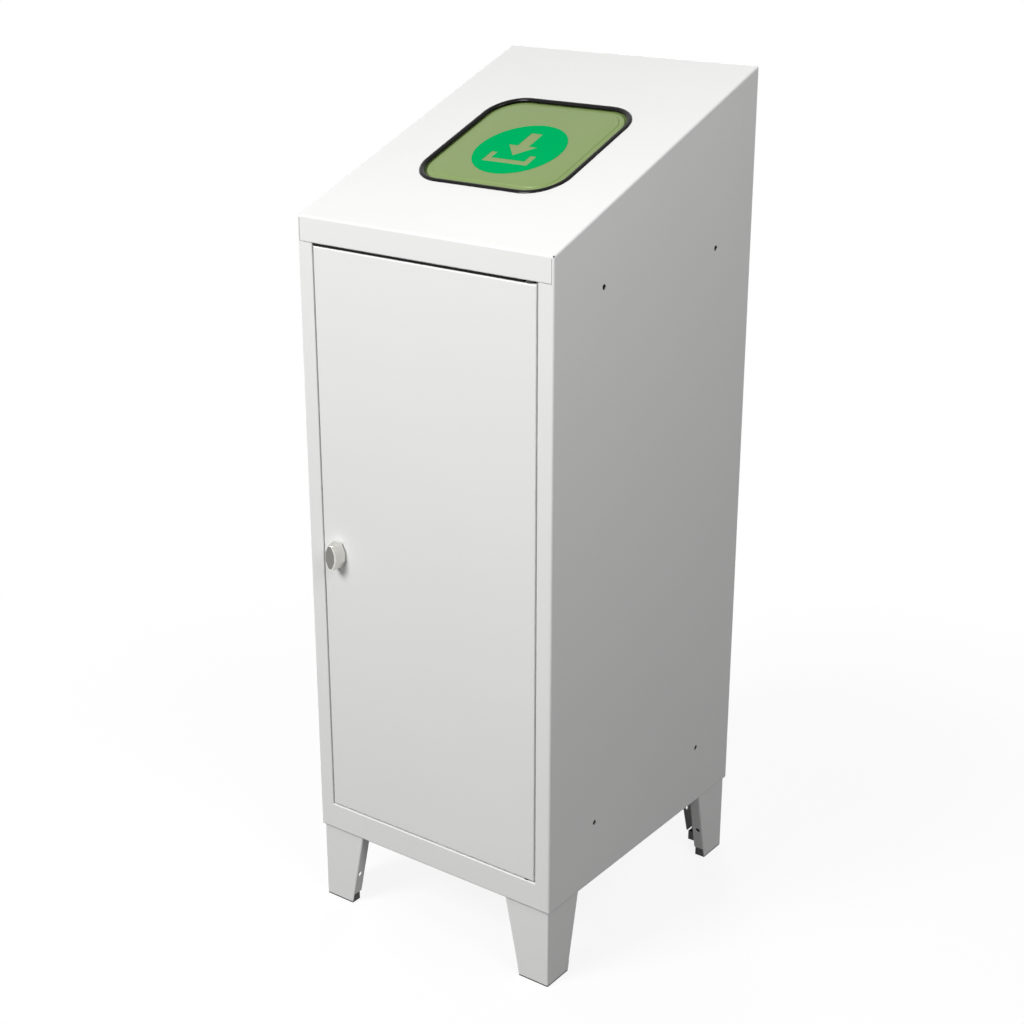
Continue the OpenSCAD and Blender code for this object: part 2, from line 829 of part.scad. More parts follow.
buffer_inset = 80;                   // of the outer buffers from the door's ends

module door_buffers() {
    buffer_x = -open_x + landing_w / 2;
    low = door_low + buffer_inset;
    high = door_top - buffer_inset;
    color(RUBBER_BLACK) on_cabinet() for (z = [low, (low + high) / 2, high]) {
        translate([buffer_x, landing_y, z]) rotate([90, 0, 0])
            cylinder(d = buffer_d, h = landing_y - door_depth - seam);
    }
}

// Black rubber strip stuck under the hood's lip, which fills the gap above the door

module door_seal() {
    seal_w = 8;
    slack = 0.5;
    end = pivot_x - bush_rim_d / 2 - slack;
    front = door_fold_r + seam;
    color(RUBBER_BLACK) on_cabinet()
        block([-open_x + slack, front, door_top + slack], [end, front + seal_w, lip_z - grip]);
}

// Lock: a housing clamped in the door, and a knob, spindle and cam that turn in it

rose_t = 2;
knob_bevel = 1;
knob_shoulder = 5.25;                // how far the knob's middle stands out past its ends, on each side
cam_front = landing_y + sheet + 0.4;
barrel_end = cam_front - seam;
cam_t = 2;
lock_nut_t = 4;
lock_nut_across = 22;
cam_screw_d = 4;
cam_screw_bite = 8;
spindle_square = 5;
knob_skin = 8;                       // metal of the knob in front of the spindle

module on_lock() {
    translate([-half_w + knob_x, 0, knob_z]) children();
}

// Along Y, from one depth to another, in the lock's frame
module turned(d, from, to) {
    translate([0, from, 0]) rotate([-90, 0, 0]) cylinder(d = d, h = to - from);
}

module lock_housing() {
    color(KNOB_METAL) on_cabinet() on_lock() difference() {
        union() {
            turned(rose_d, -rose_t, 0);
            turned(barrel_d, -rose_t, barrel_end);
        }
        turned(spindle_d + 2 * fit, -rose_t - over, barrel_end + over);
    }
}

module lock_nut() {
    color(ZINC) on_cabinet() on_lock() translate([0, sheet, 0]) rotate([-90, 0, 0]) difference() {
        cylinder(d = lock_nut_across / cos(30), h = lock_nut_t, $fn = 6);
        translate([0, 0, -over]) cylinder(d = barrel_d + 2 * grip, h = lock_nut_t + 2 * over);
    }
}

// A long octagon with flats at its sides, at a distance out from the door
function knob_ring(w, h, out) =
    let (
        share = h / knob_h,
        side = w / 2,
        end = h / 2,
        tip = side - knob_shoulder * share,
        flat = knob_flat_h / 2 * share
    )
    [for (p = [[side, flat], [tip, end], [-tip, end], [-side, flat],
               [-side, -flat], [-tip, -end], [tip, -end], [side, -flat]]) [p[0], -out, p[1]]];

// The knob narrows from its back to its front, whose edge is bevelled
module knob() {
    back = rose_t + seam;
    color(KNOB_METAL) on_cabinet() on_lock() difference() {
        through_rings([
            knob_ring(knob_back_w, knob_h, back),
            knob_ring(knob_w, knob_h, knob_stand - knob_bevel),
            knob_ring(knob_w - 2 * knob_bevel, knob_h - 2 * knob_bevel, knob_stand)
        ]);
        turned(spindle_d + 2 * grip, -knob_stand + knob_skin, -back + over);
    }
}

module lock_spindle() {
    color(ZINC) on_cabinet() on_lock() difference() {
        union() {
            turned(spindle_d, -knob_stand + knob_skin + seam, cam_front);
            translate([-spindle_square / 2, cam_front - over, -spindle_square / 2])
                cube([spindle_square, cam_t + over, spindle_square]);
        }
        turned(cam_screw_d + 2 * grip, cam_front - cam_screw_bite - over, cam_front + cam_t + over);
    }
}

module lock_cam() {
    slack = 0.1;
    hole = spindle_square + 2 * slack;
    color(ZINC) on_cabinet() on_lock() translate([0, cam_front + cam_t, 0]) rotate([90, 0, 0])
        linear_extrude(cam_t) difference() {
            union() {
                circle(d = cam_w);
                translate([-cam_w / 2, 0]) square([cam_w, cam_reach - cam_w / 2]);
                translate([0, cam_reach - cam_w / 2]) circle(d = cam_w);
            }
            square(hole, center = true);
        }
}

module cam_screw() {
    head_d = 9;
    head_h = 3;
    color(ZINC) on_cabinet() on_lock() {
        turned(head_d, cam_front + cam_t, cam_front + cam_t + head_h);
        turned(cam_screw_d, cam_front - cam_screw_bite, cam_front + cam_t);
    }
}

// Trim: a rubber channel pushed on the edge of the mouth, with a round back above and below

module trim_back() {
    back_r = (pow(trim_w / 2, 2) + pow(trim_stand, 2)) / (2 * trim_stand);
    intersection() {
        translate([0, trim_stand - back_r]) circle(back_r);
        translate([-trim_w / 2, 0]) square([trim_w, trim_stand]);
    }
}

module trim_section() {
    web_in = 0.3;
    translate([0, grip]) trim_back();
    translate([0, -sheet - grip]) mirror([0, 1]) trim_back();
    translate([web_in - trim_w / 2, -sheet - 2 * grip])
        square([trim_w / 2 - web_in - fit, sheet + 4 * grip]);
}

module flap_trim() {
    color(RUBBER_BLACK) on_slope() translate([0, mouth_v, 0]) along_square(cut_w, cut_r) trim_section();
}

// Flap: a moulded shell, a little sunk in the mouth, stopped by a flange under the trim

dome_w = mouth_w - 2 * trim_w - 2 * flap_gap;
dome_r = mouth_r - trim_w - flap_gap;
border_n = -flap_drop;
face_n = border_n + border_step;
stop_n = -sheet - grip - trim_stand - seam;          // top of the flap's flange
flange_t = 2.3;
plate_t = 2;
flap_low = stop_n - flange_t;
plate_under = flap_low - plate_t;    // underside of the back plate
flap_edge_r = 1.2;
boss_d = 8;
boss_in = 26;                        // from the flap's sides to its bosses
flap_screw_d = 3;
flap_screw_bite = 3.4;

module on_flap() {
    on_slope() translate([0, mouth_v, 0]) children();
}

module boss_places() {
    place = dome_w / 2 - boss_in;
    for (x = [-place, place], y = [-place, place]) {
        translate([x, y, 0]) children();
    }
}

module flap_panel() {
    color(FLAP_GREEN) on_flap() difference() {
        union() {
            difference() {
                translate([0, 0, flap_low]) {
                    soft_slab(dome_w, dome_r, border_n - flap_low, flap_edge_r);
                    soft_slab(dome_w - 2 * border_w, dome_r - border_w, face_n - flap_low, border_step);
                    linear_extrude(flange_t)
                        rounded_square(dome_w + 2 * flap_flange_w, dome_r + flap_flange_w);
                }
                translate([0, 0, flap_low - over]) linear_extrude(border_n - flap_wall - flap_low + over)
                    rounded_square(dome_w - 2 * flap_wall, dome_r - flap_wall);
            }
            boss_places() translate([0, 0, flap_low]) cylinder(d = boss_d, h = border_n - over - flap_low);
        }
        boss_places() translate([0, 0, flap_low - over])
            cylinder(d = flap_screw_d + 2 * grip, h = flap_screw_bite + over + seam);
    }
}

// The symbol says what to do here: an arrow down into a tray, left bare in a round label
module arrow_and_tray() {
    shaft_w = symbol_d * 0.14;
    head_w = symbol_d * 0.36;
    line_w = symbol_d * 0.075;
    tip = -symbol_d * 0.13;
    neck = symbol_d * 0.07;
    top = symbol_d * 0.33;
    tray_w = symbol_d * 0.56;
    tray_low = -symbol_d * 0.29;
    tray_high = -symbol_d * 0.10;
    polygon([
        [-shaft_w / 2, top],
        [-shaft_w / 2, neck],
        [-head_w / 2, neck],
        [0, tip],
        [head_w / 2, neck],
        [shaft_w / 2, neck],
        [shaft_w / 2, top]
    ]);
    translate([-tray_w / 2, tray_low]) square([tray_w, line_w]);
    for (side = [-1, 1]) {
        translate([side * (tray_w - line_w) / 2 - line_w / 2, tray_low])
            square([line_w, tray_high - tray_low]);
    }
}

label_t = 0.3;

module flap_symbol() {
    color(SYMBOL_GREEN) on_flap() translate([0, -symbol_drop, face_n])
        linear_extrude(label_t) difference() {
            circle(d = symbol_d, $fn = 96);
            arrow_and_tray();
        }
}

// Back plate of the flap, with two ears that turn on the rod

rod_v = dome_w / 2 + rod_back;       // from the flap's centre to the rod
ear_x = 84;
ear_t = 3;
ear_r = 5.5;
ear_side = 0.7;                      // share of its radius at which an ear's straight edge meets its eye
ear_run = 40;                        // length of each ear on the back plate

module flap_back_plate() {
    color(ZINC) on_flap() difference() {
        union() {
            translate([0, 0, plate_under]) linear_extrude(plate_t) rounded_square(dome_w, dome_r);
            for (side = [-1, 1]) {
                translate([side * ear_x - ear_t / 2, 0, 0]) {
                    block([0, dome_w / 2 - ear_run, -rod_drop - ear_r * ear_side],
                          [ear_t, rod_v, flap_low - plate_t / 2]);
                    translate([0, rod_v, -rod_drop]) rotate([0, 90, 0]) cylinder(r = ear_r, h = ear_t);
                }
            }
        }
        translate([0, rod_v, -rod_drop]) rotate([0, 90, 0])
            cylinder(d = rod_d + 2 * fit, h = body_w, center = true);
        boss_places() translate([0, 0, plate_under - over])
            cylinder(d = flap_screw_d + 2 * grip, h = plate_t + 2 * over);
    }
}

module flap_screws() {
    head_d = 6;
    head_h = 2;
    color(ZINC) on_flap() boss_places() translate([0, 0, plate_under - head_h]) {
        cylinder(d = head_d, h = head_h);
        cylinder(d = flap_screw_d, h = head_h + plate_t + flap_screw_bite);
    }
}

// Brackets under the hood that carry the rod, and the clips that keep it there

bracket_x = mouth_w / 2 + 4;         // inner face of a bracket
bracket_t = 2;
bracket_w = 34;
bracket_foot = 16;
bracket_low = 8;                     // how far a bracket reaches below the rod's axis
rod_past = 6;                        // how far the rod runs past the brackets

module flap_bracket(side) {
    color(ZINC) on_flap() mirror([side < 0 ? 1 : 0, 0, 0]) difference() {
        union() {
            block([bracket_x, rod_v - bracket_w / 2, -rod_drop - bracket_low],
                  [bracket_x + bracket_t, rod_v + bracket_w / 2, -sheet]);
            block([bracket_x, rod_v - bracket_w / 2, -sheet - bracket_t],
                  [bracket_x + bracket_foot, rod_v + bracket_w / 2, -sheet]);
        }
        translate([bracket_x - over, rod_v, -rod_drop]) rotate([0, 90, 0])
            cylinder(d = rod_d + 2 * grip, h = bracket_t + 2 * over);
    }
}

module flap_bracket_left() {
    flap_bracket(-1);
}

module flap_bracket_right() {
    flap_bracket(1);
}

module flap_rod() {
    rod_end = bracket_x + bracket_t + rod_past;
    color(ZINC) on_flap() translate([-rod_end, rod_v, -rod_drop]) rotate([0, 90, 0])
        cylinder(d = rod_d, h = 2 * rod_end);
}

module rod_clips() {
    clip_d = 11;
    clip_t = 1.5;
    clip_x = bracket_x + bracket_t + clip_t / 2 + 2 * fit;
    color(ZINC) on_flap() for (side = [-1, 1]) {
        translate([side * clip_x, rod_v, -rod_drop]) rotate([0, 90, 0])
            difference() {
                cylinder(d = clip_d, h = clip_t, center = true);
                cylinder(d = rod_d + 2 * grip, h = clip_t + over, center = true);
            }
    }
}

// Return springs: each is one wire, coiled round the rod, with a long leg under the flap's back
// plate and a short one under the hood

wire_d = 1.2;
coil_r = rod_drop + plate_under - wire_d / 2 - 0.1;
coil_pitch = 1.8;
coil_x = 58;
leg_forward = 34;
short_leg_end = rod_drop - sheet - 0.5;              // from the rod's axis
short_leg = sqrt(pow(short_leg_end, 2) - pow(coil_r, 2));
coil_turn = 6 * 360 - atan(short_leg / coil_r);      // degrees from one leg to the other
coil_steps = 16 * 6;

function coil_point(t) =
    let (a = 90 - coil_turn * t)
    [coil_x + coil_pitch * coil_turn / 360 * t, rod_v + coil_r * cos(a), -rod_drop + coil_r * sin(a)];
function leg_way(t) = let (a = 90 - coil_turn * t) [0, sin(a), -cos(a)];
spring_path = concat(
    [coil_point(0) + [0, -leg_forward, 0]],
    [for (i = [0 : coil_steps]) coil_point(i / coil_steps)],
    [coil_point(1) + short_leg * leg_way(1)]
);

function wire_ring(p, i, r, sides) =
    let (
        last = len(p) - 1,
        along = unit(p[min(i + 1, last)] - p[max(i - 1, 0)]),
        out = unit(cross(along, [1, 0, 0])),
        across = cross(out, along)
    )
    [for (k = [0 : sides - 1]) p[i] + r * (cos(360 * k / sides) * across + sin(360 * k / sides) * out)];

// Sweeps a round wire of the radius given along points
module wire(p, r, sides = 6) {
    through_rings([for (i = [0 : len(p) - 1]) wire_ring(p, i, r, sides)]);
}

turn_steps = ceil(coil_steps * 360 / coil_turn);
least_gap = min([for (i = [1 : coil_steps - turn_steps + 1], j = [i + turn_steps / 2 : coil_steps + 1])
    norm(spring_path[i] - spring_path[j])]) - wire_d;
echo(str("least gap between the turns of a spring, mm: ", least_gap));

module flap_spring(side) {
    color(ZINC) on_flap() mirror([side < 0 ? 1 : 0, 0, 0]) wire(spring_path, wire_d / 2);
}

module flap_spring_left() {
    flap_spring(-1);
}

module flap_spring_right() {
    flap_spring(1);
}

// Liner: a loose box of galvanised sheet with a hem and two handholds

liner_r = 10;
handhold_w = 110;
handhold_h = 30;
handhold_drop = 34;

module liner() {
    low = rail_h + seam;
    mid_y = liner_y + liner_d / 2;
    color(ZINC) on_cabinet() translate([0, mid_y, low]) difference() {
        union() {
            linear_extrude(liner_h) rounded_square(liner_w, liner_r, liner_d);
            translate([0, 0, liner_h - hem_w]) linear_extrude(hem_w)
                rounded_square(liner_w + 2 * hem_w, liner_r + hem_w, liner_d + 2 * hem_w);
        }
        translate([0, 0, liner_sheet]) linear_extrude(liner_h)
            rounded_square(liner_w - 2 * liner_sheet, liner_r - liner_sheet, liner_d - 2 * liner_sheet);
        translate([0, 0, liner_h - handhold_drop - handhold_h]) rotate([90, 0, 0])
            linear_extrude(liner_d + 4 * hem_w, center = true) translate([0, handhold_h / 2])
                rounded_square(handhold_w, handhold_h / 2 - grip, handhold_h);
    }
}

module liner_guide(side) {
    guide_w = 20;
    guide_gap = 2;
    inset = 24;
    near = liner_w / 2 + guide_gap;
    color(ZINC) on_cabinet() mirror([side < 0 ? 1 : 0, 0, 0]) {
        block([near, liner_y + inset, rail_h], [near + sheet, liner_y + liner_d - inset, rail_h + guide_w]);
        block([near, liner_y + inset, rail_h], [near + guide_w, liner_y + liner_d - inset, rail_h + sheet]);
    }
}

module liner_guide_left() {
    liner_guide(-1);
}

module liner_guide_right() {
    liner_guide(1);
}

left_side_panel();
right_side_panel();
back_panel();
floor_pan();
hood();
hood_rivets();
leg_front_left();
leg_front_right();
leg_rear_left();
leg_rear_right();
glide_front_left();
glide_front_right();
glide_rear_left();
glide_rear_right();
leg_bolts();
leg_nuts();
pivot_bush_upper();
pivot_bush_lower();
door_buffers();
door_seal();
door_panel();
door_stiffener();
pivot_plate_upper();
pivot_plate_lower();
pivot_pin_upper();
pivot_pin_lower();
lock_housing();
lock_nut();
knob();
lock_spindle();
lock_cam();
cam_screw();
flap_trim();
flap_bracket_left();
flap_bracket_right();
flap_rod();
rod_clips();
flap_panel();
flap_symbol();
flap_back_plate();
flap_screws();
flap_spring_left();
flap_spring_right();
liner();
liner_guide_left();
liner_guide_right();
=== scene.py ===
import math

import bpy
import numpy as np
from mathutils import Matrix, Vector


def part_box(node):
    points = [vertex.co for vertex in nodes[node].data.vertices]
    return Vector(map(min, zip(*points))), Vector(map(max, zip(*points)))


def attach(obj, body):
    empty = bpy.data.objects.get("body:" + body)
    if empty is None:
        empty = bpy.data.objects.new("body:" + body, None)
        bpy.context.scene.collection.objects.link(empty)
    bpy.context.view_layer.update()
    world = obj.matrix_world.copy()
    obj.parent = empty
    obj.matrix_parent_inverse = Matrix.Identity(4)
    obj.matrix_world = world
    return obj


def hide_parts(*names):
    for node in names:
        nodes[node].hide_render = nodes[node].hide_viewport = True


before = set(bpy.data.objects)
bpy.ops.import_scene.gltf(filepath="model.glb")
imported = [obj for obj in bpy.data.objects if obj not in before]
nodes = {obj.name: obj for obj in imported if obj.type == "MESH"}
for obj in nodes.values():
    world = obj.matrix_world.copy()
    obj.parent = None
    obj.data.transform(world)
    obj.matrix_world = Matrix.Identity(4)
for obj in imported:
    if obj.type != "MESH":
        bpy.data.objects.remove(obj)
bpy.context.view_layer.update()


# The cabinet: side panels, back, floor pan and hood, each folded from 1.2 mm steel sheet and
# riveted or bolted together, then sprayed with a light grey-white polyester powder and baked.

def linear(hex_colour):
    """sRGB hex to linear RGBA: each channel c becomes ((c + 0.055) / 1.055) to the power 2.4, or
    c / 12.92 near black."""
    c = np.array([int(hex_colour[i:i + 2], 16) for i in (1, 3, 5)]) / 255
    return (*np.where(c <= 0.04045, c / 12.92, ((c + 0.055) / 1.055) ** 2.4), 1.0)


def add(tree, kind, inputs=(), **settings):
    """Adds a node, sets its properties, and fills each input with a value or with a link from a socket."""
    node = tree.nodes.new("ShaderNode" + kind)
    for key, value in settings.items():
        setattr(node, key, value)
    for key, value in dict(inputs).items():
        if isinstance(value, bpy.types.NodeSocket):
            tree.links.new(value, node.inputs[key])
        else:
            node.inputs[key].default_value = value
    return node


def finish_named(name, **uniform):
    """A new material with one Principled shader, whose uniform values are set on its own sockets."""
    material = bpy.data.materials.new(name)
    material.use_nodes = True
    shader = material.node_tree.nodes["Principled BSDF"]
    for key, value in uniform.items():
        shader.inputs[key.replace("_", " ")].default_value = value
    return material, material.node_tree, shader


def feed(tree, shader, shade, rough, bump=None):
    """Links a finish's mixed colour, its roughness and, where it has one, its bump to the shader."""
    tree.links.new(shade.outputs[2], shader.inputs["Base Color"])
    tree.links.new(rough.outputs[0], shader.inputs["Roughness"])
    if bump:
        tree.links.new(bump.outputs[0], shader.inputs["Normal"])


def per_metre(mm):
    """The scale of a pattern, from its real size: how many of that size lie in a metre."""
    return 1000 / mm


def coat(material, *names):
    """Puts one material on the named CAD nodes."""
    for name in names:
        mesh = nodes[name].data
        mesh.materials.clear()
        mesh.materials.append(material)


# Powder coat, sprayed and baked: satin, with an orange peel of about 2 mm that breaks up the
# reflections on the folds, and a colour that hardly wanders over a panel
powder, tree, shader = finish_named("powder_coat_baked", IOR=1.5)
place = add(tree, "TexCoord").outputs["Object"]
cloud = add(tree, "TexNoise", {"Vector": place, "Scale": per_metre(200), "Detail": 3.0})
shade = add(tree, "Mix", {0: cloud.outputs[0], 6: linear("#EAEAE9"), 7: linear("#EEEEED")}, data_type="RGBA")
peel = add(tree, "TexNoise", {"Vector": place, "Scale": per_metre(2.083), "Detail": 2.0})
rough = add(tree, "MapRange", {"Value": peel.outputs[0], "To Min": 0.36, "To Max": 0.46})
bump = add(tree, "Bump", {"Height": peel.outputs[0], "Strength": 0.12, "Distance": 0.0004})
feed(tree, shader, shade, rough, bump)
coat(powder, "left_side_panel", "right_side_panel", "back_panel", "floor_pan", "hood", "hood_rivets")


# The legs: four folded angles of 1.5 mm sheet, powder coated like the cabinet and bolted under
# it with plated hexagon screws, each on a black moulded glide that is pushed up inside it.

coat(powder, "leg_front_left", "leg_front_right", "leg_rear_left", "leg_rear_right")

# Polyamide, moulded black: matt, with a grain drawn as coarse as 1 mm so that it shows
glide_black, tree, shader = finish_named("polyamide_moulded_black", IOR=1.53)
place = add(tree, "TexCoord").outputs["Object"]
grain = add(tree, "TexNoise", {"Vector": place, "Scale": per_metre(1.111), "Detail": 3.0})
shade = add(tree, "Mix", {0: grain.outputs[0], 6: linear("#151515"), 7: linear("#222223")}, data_type="RGBA")
rough = add(tree, "MapRange", {"Value": grain.outputs[0], "To Min": 0.45, "To Max": 0.65})
bump = add(tree, "Bump", {"Height": grain.outputs[0], "Strength": 0.2, "Distance": 0.0002})
feed(tree, shader, shade, rough, bump)
coat(glide_black, "glide_front_left", "glide_front_right", "glide_rear_left", "glide_rear_right")

# Steel, zinc electroplated and passivated: a soft metal with faint blue clouds of about 8 mm
plated, tree, shader = finish_named("steel_zinc_plated", Metallic=1.0)
place = add(tree, "TexCoord").outputs["Object"]
cloud = add(tree, "TexNoise", {"Vector": place, "Scale": per_metre(7.69), "Detail": 4.0})
shade = add(tree, "Mix", {0: cloud.outputs[0], 6: linear("#B4B7BC"), 7: linear("#C9CAC8")}, data_type="RGBA")
rough = add(tree, "MapRange", {"Value": cloud.outputs[0], "To Min": 0.28, "To Max": 0.42})
feed(tree, shader, shade, rough)
coat(plated, "leg_bolts", "leg_nuts")


# The door: a shallow pan folded from the same sheet, stiffened by a hat section spot-welded
# inside. It turns on two plated pins in nylon bushes and closes on three rubber buffers.

coat(powder, "door_panel", "door_stiffener")
coat(plated, "pivot_plate_upper", "pivot_plate_lower", "pivot_pin_upper", "pivot_pin_lower")

# Nylon, moulded with graphite: a soft dark grey, hardly clouded
nylon, tree, shader = finish_named("nylon_graphite", IOR=1.53)
place = add(tree, "TexCoord").outputs["Object"]
cloud = add(tree, "TexNoise", {"Vector": place, "Scale": per_metre(5)})
shade = add(tree, "Mix", {0: cloud.outputs[0], 6: linear("#2B2B2C"), 7: linear("#343435")}, data_type="RGBA")
rough = add(tree, "MapRange", {"Value": cloud.outputs[0], "To Min": 0.38, "To Max": 0.5})
feed(tree, shader, shade, rough)
coat(nylon, "pivot_bush_upper", "pivot_bush_lower")

# Rubber, extruded or moulded black: near-black, with a thin grey line of gloss along round backs
# and a bloom in patches of about 17 mm
rubber, tree, shader = finish_named("rubber_edge_trim", IOR=1.52, Specular_IOR_Level=0.15)
place = add(tree, "TexCoord").outputs["Object"]
bloom = add(tree, "TexNoise", {"Vector": place, "Scale": per_metre(16.67), "Detail": 5.0})
shade = add(tree, "Mix", {0: bloom.outputs[0], 6: linear("#080707"), 7: linear("#100E0E")}, data_type="RGBA")
rough = add(tree, "MapRange", {"Value": bloom.outputs[0], "To Min": 0.12, "To Max": 0.2})
feed(tree, shader, shade, rough)
coat(rubber, "door_buffers", "door_seal")


# The lock: a quarter-turn latch. Its knob is a nickel-plated zinc die casting, eight-sided and wider
# at its back; a nut clamps the housing in the door, and a cam hooks behind the stile.

def outline_rounded(corners, radius, steps):
    """A closed outline with each corner turned into an arc. The arc starts radius * tan(turn / 2)
    before the corner, its centre lies the radius inside that point, and it sweeps through the
    turn. The corners run anticlockwise."""
    p = np.asarray(corners, float)
    after = np.roll(p, -1, 0) - p
    after /= np.linalg.norm(after, axis=1, keepdims=True)
    before = np.roll(after, 1, 0)
    out_before = np.stack([before[:, 1], -before[:, 0]], 1)
    turn = np.arctan2(before[:, 0] * after[:, 1] - before[:, 1] * after[:, 0], (before * after).sum(1))
    centre = p - radius * (out_before + np.tan(turn / 2)[:, None] * before)
    start = np.arctan2(out_before[:, 1], out_before[:, 0])
    angle = start[:, None] + turn[:, None] * np.linspace(0, 1, steps)
    return (centre[:, None] + radius * np.stack([np.cos(angle), np.sin(angle)], -1)).reshape(-1, 2)


def skin(name, grid, material, body, closed_rows=False):
    """A mesh from a grid of points, rings along its first axis: a quad between each point and its
    neighbours, the ring closed on itself. The end rings are filled, or joined if the rows close."""
    rings, count = grid.shape[:2]
    row = np.arange(rings if closed_rows else rings - 1)[:, None]
    col = np.arange(count)[None]
    here, there = row * count, (row + 1) % rings * count
    right = (col + 1) % count
    quads = np.stack([here + col, here + right, there + right, there + col], -1)
    faces = quads.reshape(-1, 4).tolist()
    if not closed_rows:
        faces += [list(range(count))[::-1], list(range((rings - 1) * count, rings * count))]
    mesh = bpy.data.meshes.new(name)
    mesh.from_pydata(grid.reshape(-1, 3), [], faces)
    mesh.polygons.foreach_set("use_smooth", np.ones(len(mesh.polygons), bool))
    mesh.materials.append(material)
    piece = bpy.data.objects.new(name, mesh)
    bpy.context.scene.collection.objects.link(piece)
    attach(piece, body)
    return piece


knob_height, side_flat, end_in, corner_r = 34.0, 12.0, 5.25, 2.0


def knob_outline(width, height):
    """A long octagon with a flat at each side, and ends that stand in from the sides. The flats and
    the ends keep their share of the height, and each corner is an arc."""
    share = height / knob_height
    side, end = width / 2, height / 2
    tip, flat = side - end_in * share, side_flat / 2 * share
    corners = [[side, -flat], [side, flat], [tip, end], [-tip, end],
               [-side, flat], [-side, -flat], [-tip, -end], [tip, -end]]
    return outline_rounded(corners, corner_r, 7)


# Rings from back to front: inset of the outline, its width, and its distance out of the door
knob_low, knob_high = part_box("knob")
face_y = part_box("door_panel")[0].y
rose_out, knob_out = 2.2, (face_y - knob_low.y) * 1000
back_w, front_w, edge_r, front_in = 24.0, 17.5, 2.2, 2.8
flank = [(0.5, back_w, rose_out), (0.0, 23.9, 2.5), (0.0, 23.7, 3.0), (0.0, 17.6, knob_out - 2.4)]
edge = [(edge_r * (1 - math.cos(t)), front_w, knob_out - edge_r + edge_r * math.sin(t))
        for t in np.linspace(0, np.pi / 2, 7)]
rings = []
for inset, width, out in flank + edge + [(front_in, front_w, knob_out)]:
    outline = knob_outline(width - 2 * inset, knob_height - 2 * inset)
    rings.append(np.stack([outline[:, 0], np.full(len(outline), -out), outline[:, 1]], 1))
knob_middle = [(knob_low.x + knob_high.x) / 2, face_y, (knob_low.z + knob_high.z) / 2]

# Zinc die casting, nickel-plated: a front brushed up and down, with lines drawn as coarse as 0.7 mm
# so that they show, and painted darker than the buffed flanks and edges, a painted reflection of a dark
# surround
nickel, tree, shader = finish_named("zinc_casting_nickel", Metallic=1.0)
place = add(tree, "TexCoord").outputs["Object"]
brush = add(tree, "Mapping", {"Vector": place, "Scale": (1.0, 1.0, 0.08)})
lines = add(tree, "TexNoise", {"Vector": brush.outputs[0], "Scale": per_metre(0.714), "Detail": 3.0})
depth = add(tree, "SeparateXYZ", {0: place}).outputs["Y"]
front_y, edge_y = knob_low.y + 0.00002, knob_low.y + 0.0002
ramp = {"Value": depth, "From Min": front_y, "From Max": edge_y, "To Min": 1.0, "To Max": 0.0}
front = add(tree, "MapRange", ramp)
line = lines.outputs[0]
buffed = add(tree, "Mix", {0: line, 6: linear("#D2D1CB"), 7: linear("#E2E1DB")}, data_type="RGBA")
# Painted reflection: the front's colour is set darker, standing in for the dark surround it would mirror
front_painted_dark = add(tree, "Mix", {0: line, 6: linear("#7E7C78"), 7: linear("#93918D")}, data_type="RGBA")
shade = add(tree, "Mix", {0: front.outputs[0], 6: buffed.outputs[2], 7: front_painted_dark.outputs[2]}, data_type="RGBA")
rough = add(tree, "MapRange", {"Value": front.outputs[0], "To Min": 0.14, "To Max": 0.34})
bump = add(tree, "Bump", {"Height": lines.outputs[0], "Strength": 0.05, "Distance": 0.0001})
feed(tree, shader, shade, rough, bump)
coat(nickel, "lock_housing")
coat(plated, "lock_nut", "lock_spindle", "lock_cam", "cam_screw")
knob = skin("knob_casting", np.stack(rings) / 1000 + knob_middle, nickel, "lock")
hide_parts("knob")


# The mouth's trim: an extruded rubber channel with a round back above and below, pushed on the
# cut edge of the hood and joined end to end at the rear.

# The slope rises from the hood's front edge, and the mouth's middle lies this far up it, in mm
slope, mouth_up = math.radians(20), 221.0
hood_edge = np.array([0, face_y, 0.950])


def on_slope(x, v, n):
    """Points of the shared frame, from millimetres on the hood: x to the right, v up the slope from
    the mouth's middle, n out of it. Y is the edge's plus v cos(slope) - n sin(slope), and Z is the
    edge's plus v sin(slope) + n cos(slope), with v counted from the edge."""
    v = v + mouth_up
    y, z = v * math.cos(slope) - n * math.sin(slope), v * math.sin(slope) + n * math.cos(slope)
    return np.stack(np.broadcast_arrays(x, y, z), -1) / 1000 + hood_edge


def rounded_square(width, radius, side=6, arc=20):
    """Points and outward normals once round a rounded square: each side is cut into equal steps,
    and each corner is a quarter circle about a centre that lies the radius in from both sides."""
    s = width / 2 - radius
    t = np.linspace(-s, s, side, endpoint=False)
    a = np.linspace(0, np.pi / 2, arc, endpoint=False)
    round_corner = np.stack([np.cos(a), np.sin(a)], 1)
    point = np.concatenate([np.stack([0 * t + width / 2, t], 1), s + radius * round_corner])
    normal = np.concatenate([np.stack([0 * t + 1, 0 * t], 1), round_corner])
    turns = [np.array([[c, s], [-s, c]]) for c, s in ((1, 0), (0, 1), (-1, 0), (0, -1))]
    return np.concatenate([point @ t for t in turns]), np.concatenate([normal @ t for t in turns])


